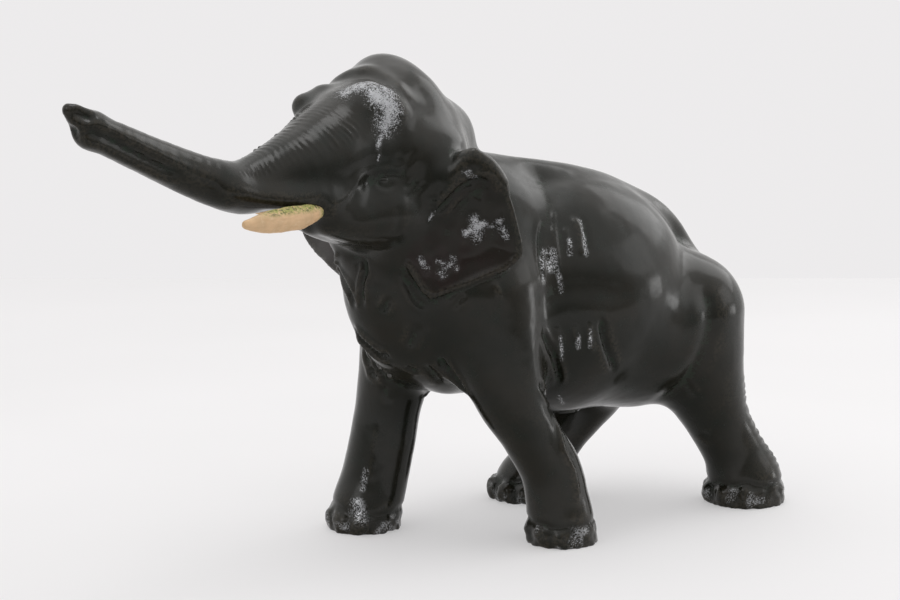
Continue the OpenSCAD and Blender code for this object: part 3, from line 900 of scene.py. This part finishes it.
points, quads = clay.skin()
skin = Skin(relax(points, quads, 5), quads)
for kind, width, height, lip, route in FOLDS:
    if kind == EAR:
        sides = [[on_ear(side, *spot) for spot in route] for side in (1, -1)]
    else:
        sides = [route] if kind == ONCE else [route, other_side(route, kind)]
    for line in sides:
        skin.press(snapped(skin, line), width, height, lip)
skin.swell(np.array([-21, -27.5, 177]), 10, -0.7)
skin.swell(on_ear(1, 16, -10.5), 2.6, -1.0)
skin.swell(np.array([4, -41.5, 83]), np.array([10, 10, 15]), -1.0)
wrinkle_trunk(skin)
wrinkle_leg(skin, "hind_left", 14, 62, (1, 0, 0), 0.34)
wrinkle_leg(skin, "hind_right", 14, 60, (0.8, 0.4, 0), 0.3)
skin.settle()
skin.rise += 0.13 * lumps(skin.points, 9, 31) + 0.05 * lumps(skin.points, 3.4, 32)
height = skin.points[:, 2] + 2.2 * lumps(skin.points, 8, 51)
foot_lumps = 0.5 * lumps(skin.points, 3.4, 52) + 0.3 * lumps(skin.points, 1.8, 53)
skin.rise += (1 - ramp(height, 8, 12)) * foot_lumps
skin.rise -= ANKLE_GROOVE * np.exp(-((height - 10) / 1.3) ** 2)
skin.settle()

# flat soles, with seats in which the plates and the plug show
p = skin.points
p[:, 2] = np.maximum(p[:, 2], 0)
for foot in FOOT_RADIUS:
    node = "sole_" + foot
    low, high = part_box(node)
    centre, reach = middle(node), (high.x - low.x) / 2 / UNIT
    seat = (np.hypot(p[:, 0] - centre[0], p[:, 1] - centre[1]) < reach + 0.3) & (p[:, 2] < SEAT_DEPTH)
    p[seat, 2] = SEAT_DEPTH
plug_low, plug_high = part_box("belly_plug")
plug, plug_reach = middle("belly_plug"), (plug_high.x - plug_low.x) / 2 / UNIT
seat = (np.hypot(p[:, 0] - plug[0], p[:, 1] - plug[1]) < plug_reach + 0.2) & (abs(p[:, 2] - plug[2]) < 8)
p[seat, 2] = np.maximum(p[seat, 2], plug_low.z / UNIT + 0.5)
skin.normals = normals_of(p, quads)

# how hollow each point is, and how rubbed, from its height against its smoothed surroundings
FULLY_RUBBED = 0.35
FULLY_HOLLOW = 0.45
soft = p.copy()
for i in range(3):
    soft[:, i] = average(p[:, i], quads, 10)
hollow = ((soft - p) * skin.normals).sum(1)
hollow = average(hollow, quads, 1)
rubbed = np.clip(-hollow / FULLY_RUBBED, 0, 1)
hollow = np.clip(hollow / FULLY_HOLLOW, 0, 1)


def marked(routes):
    """1 on the given lines and patches, fading to 0 at their width."""
    total = np.zeros(len(p))
    for width, route in routes:
        index, gap, _ = skin.near_line(snapped(skin, route), width * 1.6)
        value = np.exp(-(gap / width) ** 2 * 1.15)
        np.maximum.at(total, index, value)
    return total


# Pale bare-metal patches and streaks on the brow and ears: partly rubbed wear, partly painted highlights
# where the crinkled skin would catch the light.
scuff_and_highlight = marked([
    (6.6, [(-52, -20, 191), (-48, -22, 193), (-43, -25, 193), (-40, -28, 190), (-39, -30, 186)]),
    (6.6, [(-45, -28, 190), (-42, -31, 186), (-40, -31, 182), (-43, -32, 178)]),
    (1.5, [(-45, -32, 174), (-47, -32, 170)]),
    (0.9, [(-46, -33, 167), (-47, -33, 164)]),
    (3.2, [on_ear(1, 13.5, 2.5), on_ear(1, 15.2, 9.5)]),
    (2.4, [on_ear(1, 10.6, 7.6), on_ear(1, 18, 4)]),
])
scuff_and_highlight = np.maximum(scuff_and_highlight, 0.8 * marked([
    (2.6, [on_ear(1, 24, 4), on_ear(1, 26, 9)]),
    (1.8, [on_ear(1, 21, 5), on_ear(1, 25, 2)]),
    (2.8, [on_ear(1, 5, 18.6), on_ear(1, 0.6, 24)]),
    (1.8, [on_ear(1, 0, 19), on_ear(1, 6.4, 22)]),
    (2.0, [on_ear(1, -7.6, 18), on_ear(1, -4.6, 22.4)]),
    (2.0, [on_ear(1, 9, -18.5), on_ear(1, 14, -17.5)]),
    (1.3, [on_ear(1, -3, -3), on_ear(1, -6, 1)]),
]))
# Thin pale lines on the flank and leg folds and flecks on the feet: partly scratches and wear, partly painted
# glints along edges that would catch the light.
wear_and_glint = marked([
    (1.1, [(33, -35, 124), (31, -36, 120), (30, -37, 116), (29, -38, 112)]),
    (1.2, [(39, -35, 122), (38, -37, 117), (39, -38, 112), (39, -39, 107)]),
    (2.6, [(36, -36, 123), (35, -37, 117)]),
    (1.2, [(46, -36, 127), (45, -38, 122)]),
    (1.3, [(52, -36, 128), (51, -39, 121)]),
    (0.8, [(54, -32, 135), (52, -35, 129)]),
    (0.9, [(38, -38, 88), (40, -38, 83), (42, -37, 78)]),
    (1.1, [(46, -40, 88), (48, -39, 83)]),
    (0.9, [(52, -43, 90), (53, -41, 83)]),
    (0.8, [(48, -27, 60), (54, -22, 55)]),
    (1.6, [(-19, 21, 27), (-21, 21, 20)]),
    (3.4, [(-25, 20, 14), (-23, 18, 8)]),
])
on_feet = (1 - ramp(p[:, 2] + 2 * lumps(p, 5, 61), 8, 13)) * ramp(lumps(p, 4, 62), -0.1, 0.6)
wear_and_glint = np.maximum(wear_and_glint, 0.5 * on_feet)


def ear_inside(side):
    """1 inside the hollow face of an ear."""
    outward, down, normal = ear_axes(side)
    local = p - at_head(*EAR_HINGE[side])
    depth = outline_distance(local @ outward, local @ down, EAR_OUTLINE)
    flat = (np.abs(local @ normal) < 9) & (skin.normals @ normal > 0.2)
    low = ramp(local @ down, 0, 18) * (1 - 0.6 * ramp(local @ outward, 12, 28))
    return ramp(-depth, 1.2, 3.5) * flat * (0.2 + 0.8 * low)


casting = mesh_piece("bronze_elephant", p, quads, bronze_material("bronze_body", True))
paint(casting, "hollow", hollow)
paint(casting, "rubbed", average(rubbed, quads, 1))
# the scuff and spark marks carry painted highlights and glints as well as wear
paint(casting, "scuff_and_highlight", scuff_and_highlight)
paint(casting, "wear_and_glint", wear_and_glint)
paint(casting, "beneath", ramp(-skin.normals[:, 2], -0.2, 0.4))
paint(casting, "ear_inner", average(ear_inside(1) + ear_inside(-1), quads, 1))
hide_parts("body_casting")

# ---- eyes
plain_bronze = bronze_material("bronze_plates", False)


EYE_RADII = (2.7, 1.9, 1.7)
EYE_SUNK = 1.35


def eye(name, place):
    """A small ball under the lids."""
    centre = snapped(skin, [place])[0]
    facing = skin.normals[np.argmin(((p - centre) ** 2).sum(1))]
    ball = Clay([np.arange(-3.4, 3.5, 0.3)] * 3)
    ball.merge(ellipsoid((0, 0, 0), EYE_RADII), 0.5)
    q, faces = ball.skin()
    side = np.cross(facing, UP)
    side /= np.linalg.norm(side)
    q = q[:, :1] * side + (q[:, 1:2] - EYE_SUNK) * facing + q[:, 2:] * np.cross(side, facing) + centre
    return mesh_piece(name, q, faces, plain_bronze)


EYE = (-43, -32, 156.5)
eye("eye_left", EYE)
eye("eye_right", other_side([EYE], FACE)[0])

# ---- tusks
bone = bone_material()
TUSK_YAW = 2.0
TUSK_RISE = {1: 0.0, -1: 7.0}
TUSK_FLAT = 0.72


def tusk(name, node, dowel, side, shape, seed):
    """A blunt leaf of bone, flattened from side to side, on its own dowel."""
    block = Clay([np.arange(-1, 60, 0.5), np.arange(-9, 9, 0.5), np.arange(-9, 9, 0.5)])
    block.merge(limb(shape, 6), 1)
    q, faces = block.skin()
    q = relax(q, faces, 3)
    out = normals_of(q, faces)
    q = q + out * (0.28 * lumps(q, 6, seed) + 0.16 * lumps(q, 2.2, seed + 1))[:, None]
    stain = ramp(q[:, 2], 0.2, 2.4) * ramp(q[:, 0], 9, 14) * (1 - ramp(q[:, 0], 40, 50))
    stain = np.maximum(stain, 1 - ramp(q[:, 0], 11.5, 15.5))
    a, rise = math.radians(side * TUSK_YAW), math.radians(TUSK_RISE[side])
    level = FORWARD * math.cos(a) + LEFT * math.sin(a)
    across = LEFT * math.cos(a) - FORWARD * math.sin(a)
    ahead = level * math.cos(rise) + UP * math.sin(rise)
    q = middle(dowel) + q[:, :1] * ahead + TUSK_FLAT * q[:, 1:2] * across + q[:, 2:] * np.cross(ahead, across)
    piece = mesh_piece(name, q, faces, bone)
    paint(piece, "stain", stain)
    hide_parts(node)


tusk("tusk_left", "left_tusk", "left_tusk_dowel", 1, [
    [12.8, 0, 0.3, 2.9], [17, 0.2, -0.4, 3.8], [23, 0.5, -0.8, 4.5], [31, 0.6, -1, 4.7], [38, 0.6, -1.1, 4.5],
    [46, 0.5, -1.2, 3.8], [52, 0.3, -1.1, 2.4], [55.4, 0.2, -0.9, 1.5]], 41)
tusk("tusk_right", "right_tusk", "right_tusk_dowel", -1, [
    [5, 0, 0, 3.4], [9, 0, 0.2, 4.2], [13, -0.4, 0.2, 4.6], [18, -0.6, 0, 3.9], [22, -0.6, -0.2, 2.3]], 47)

# ---- CAD pieces that stay
wood = wood_material()
for name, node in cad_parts.items():
    material = wood if name.endswith("dowel") else plain_bronze
    if name.startswith("sole") or name == "belly_plug" or name.endswith("dowel"):
        for slot in node.material_slots:
            slot.link = "OBJECT"
            slot.material = material

# ---- stage, light and camera
CAMERA_AZIMUTH = -35.0
CAMERA_PITCH = 8.3
CAMERA_PLACE = (-497.1, -725.0, 230.0)
CAMERA_LENS = 85
CAMERA_SENSOR = 36
STAGE_SIZE = 1640
GLOW_TILT = 0.42
GLOW_RISE = 0.91
centre_azimuth = math.radians(CAMERA_AZIMUTH)

paper = Nodes("stage_paper")
paper.shader.inputs["Roughness"].default_value = 0.75
paper.shader.inputs["Specular IOR Level"].default_value = 0.25
paper.shader.inputs["Emission Color"].default_value = (1.0, 0.99, 0.995, 1)
paper.shader.inputs["Emission Strength"].default_value = 0.36
tone = paper.noise(260, 2, 0.5)
shade = paper.mix(paper.span(tone, 0.3, 0.7), (0.462, 0.457, 0.460), (0.48, 0.474, 0.478))
paper.join(shade, paper.shader.inputs["Base Color"])
bpy.ops.mesh.primitive_plane_add(size=STAGE_SIZE * UNIT, rotation=(0, 0, centre_azimuth))
floor = bpy.context.object
floor.name = "stage_floor"
floor.location.z = cad_low.z
floor.data.materials.append(paper.material)
floor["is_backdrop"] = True

world = bpy.data.worlds.new("studio")
bpy.context.scene.world = world
world.use_nodes = True
sky = world.node_tree
sky.nodes.clear()
out, switch, seen, cast = [sky.nodes.new("ShaderNode" + kind) for kind in (
    "OutputWorld", "MixShader", "Background", "Background")]
path, where, facing, level = [sky.nodes.new("ShaderNode" + kind) for kind in (
    "LightPath", "TexCoord", "VectorMath", "MapRange")]
behind = (-GLOW_TILT * math.sin(centre_azimuth), GLOW_TILT * math.cos(centre_azimuth), GLOW_RISE)
facing.operation = "DOT_PRODUCT"
facing.inputs[1].default_value = behind
level.interpolation_type = "SMOOTHSTEP"
for key, value in (("From Min", -0.55), ("From Max", 0.5), ("To Min", 0.18), ("To Max", 0.93)):
    level.inputs[key].default_value = value
seen.inputs["Color"].default_value = (0.845, 0.832, 0.838, 1)
cast.inputs["Color"].default_value = (1.0, 0.99, 0.985, 1)
for source, target in (
        (where.outputs["Generated"], facing.inputs[0]), (facing.outputs["Value"], level.inputs["Value"]),
        (level.outputs["Result"], cast.inputs["Strength"]), (path.outputs["Is Camera Ray"], switch.inputs[0]),
        (cast.outputs[0], switch.inputs[1]), (seen.outputs[0], switch.inputs[2]),
        (switch.outputs[0], out.inputs[0])):
    sky.links.new(source, target)


def area_light(name, place, aim, size, power):
    """A soft panel of light, in units, aimed at a point."""
    light = bpy.data.lights.new(name, "AREA")
    light.shape = "RECTANGLE"
    light.size, light.size_y = size[0] * UNIT, size[1] * UNIT
    light.energy = power
    lamp = bpy.data.objects.new(name, light)
    lamp.location = Vector(place) * UNIT
    lamp.rotation_euler = (Vector(aim) - Vector(place)).to_track_quat("-Z", "Y").to_euler()
    bpy.context.scene.collection.objects.link(lamp)


area_light("overhead", (60, 200, 900), (0, 0, 90), (900, 700), 0.75)
area_light("top_panel", (60, -60, 880), (-40, 0, 150), (320, 320), 0.7)
area_light("left_panel", (-900, -250, 620), (-60, 0, 120), (420, 520), 0.8)
area_light("right_panel", (760, 40, 550), (40, 0, 110), (480, 520), 0.95)
area_light("side_panel", (718, -466, 370), (0, 0, 130), (420, 320), 0.33)
area_light("low_panel", (840, -350, 85), (100, 0, 100), (150, 130), 0.2)

view = bpy.data.cameras.new("camera")
view.lens = CAMERA_LENS
view.sensor_width = CAMERA_SENSOR
view.clip_end = 20
camera = bpy.data.objects.new("camera", view)
camera.location = Vector(CAMERA_PLACE) * UNIT
camera.rotation_euler = (math.radians(90 - CAMERA_PITCH), 0, centre_azimuth)
bpy.context.scene.collection.objects.link(camera)
bpy.context.scene.camera = camera
bpy.context.scene.view_settings.view_transform = "Standard"
bpy.context.scene.view_settings.look = "None"

low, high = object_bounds()
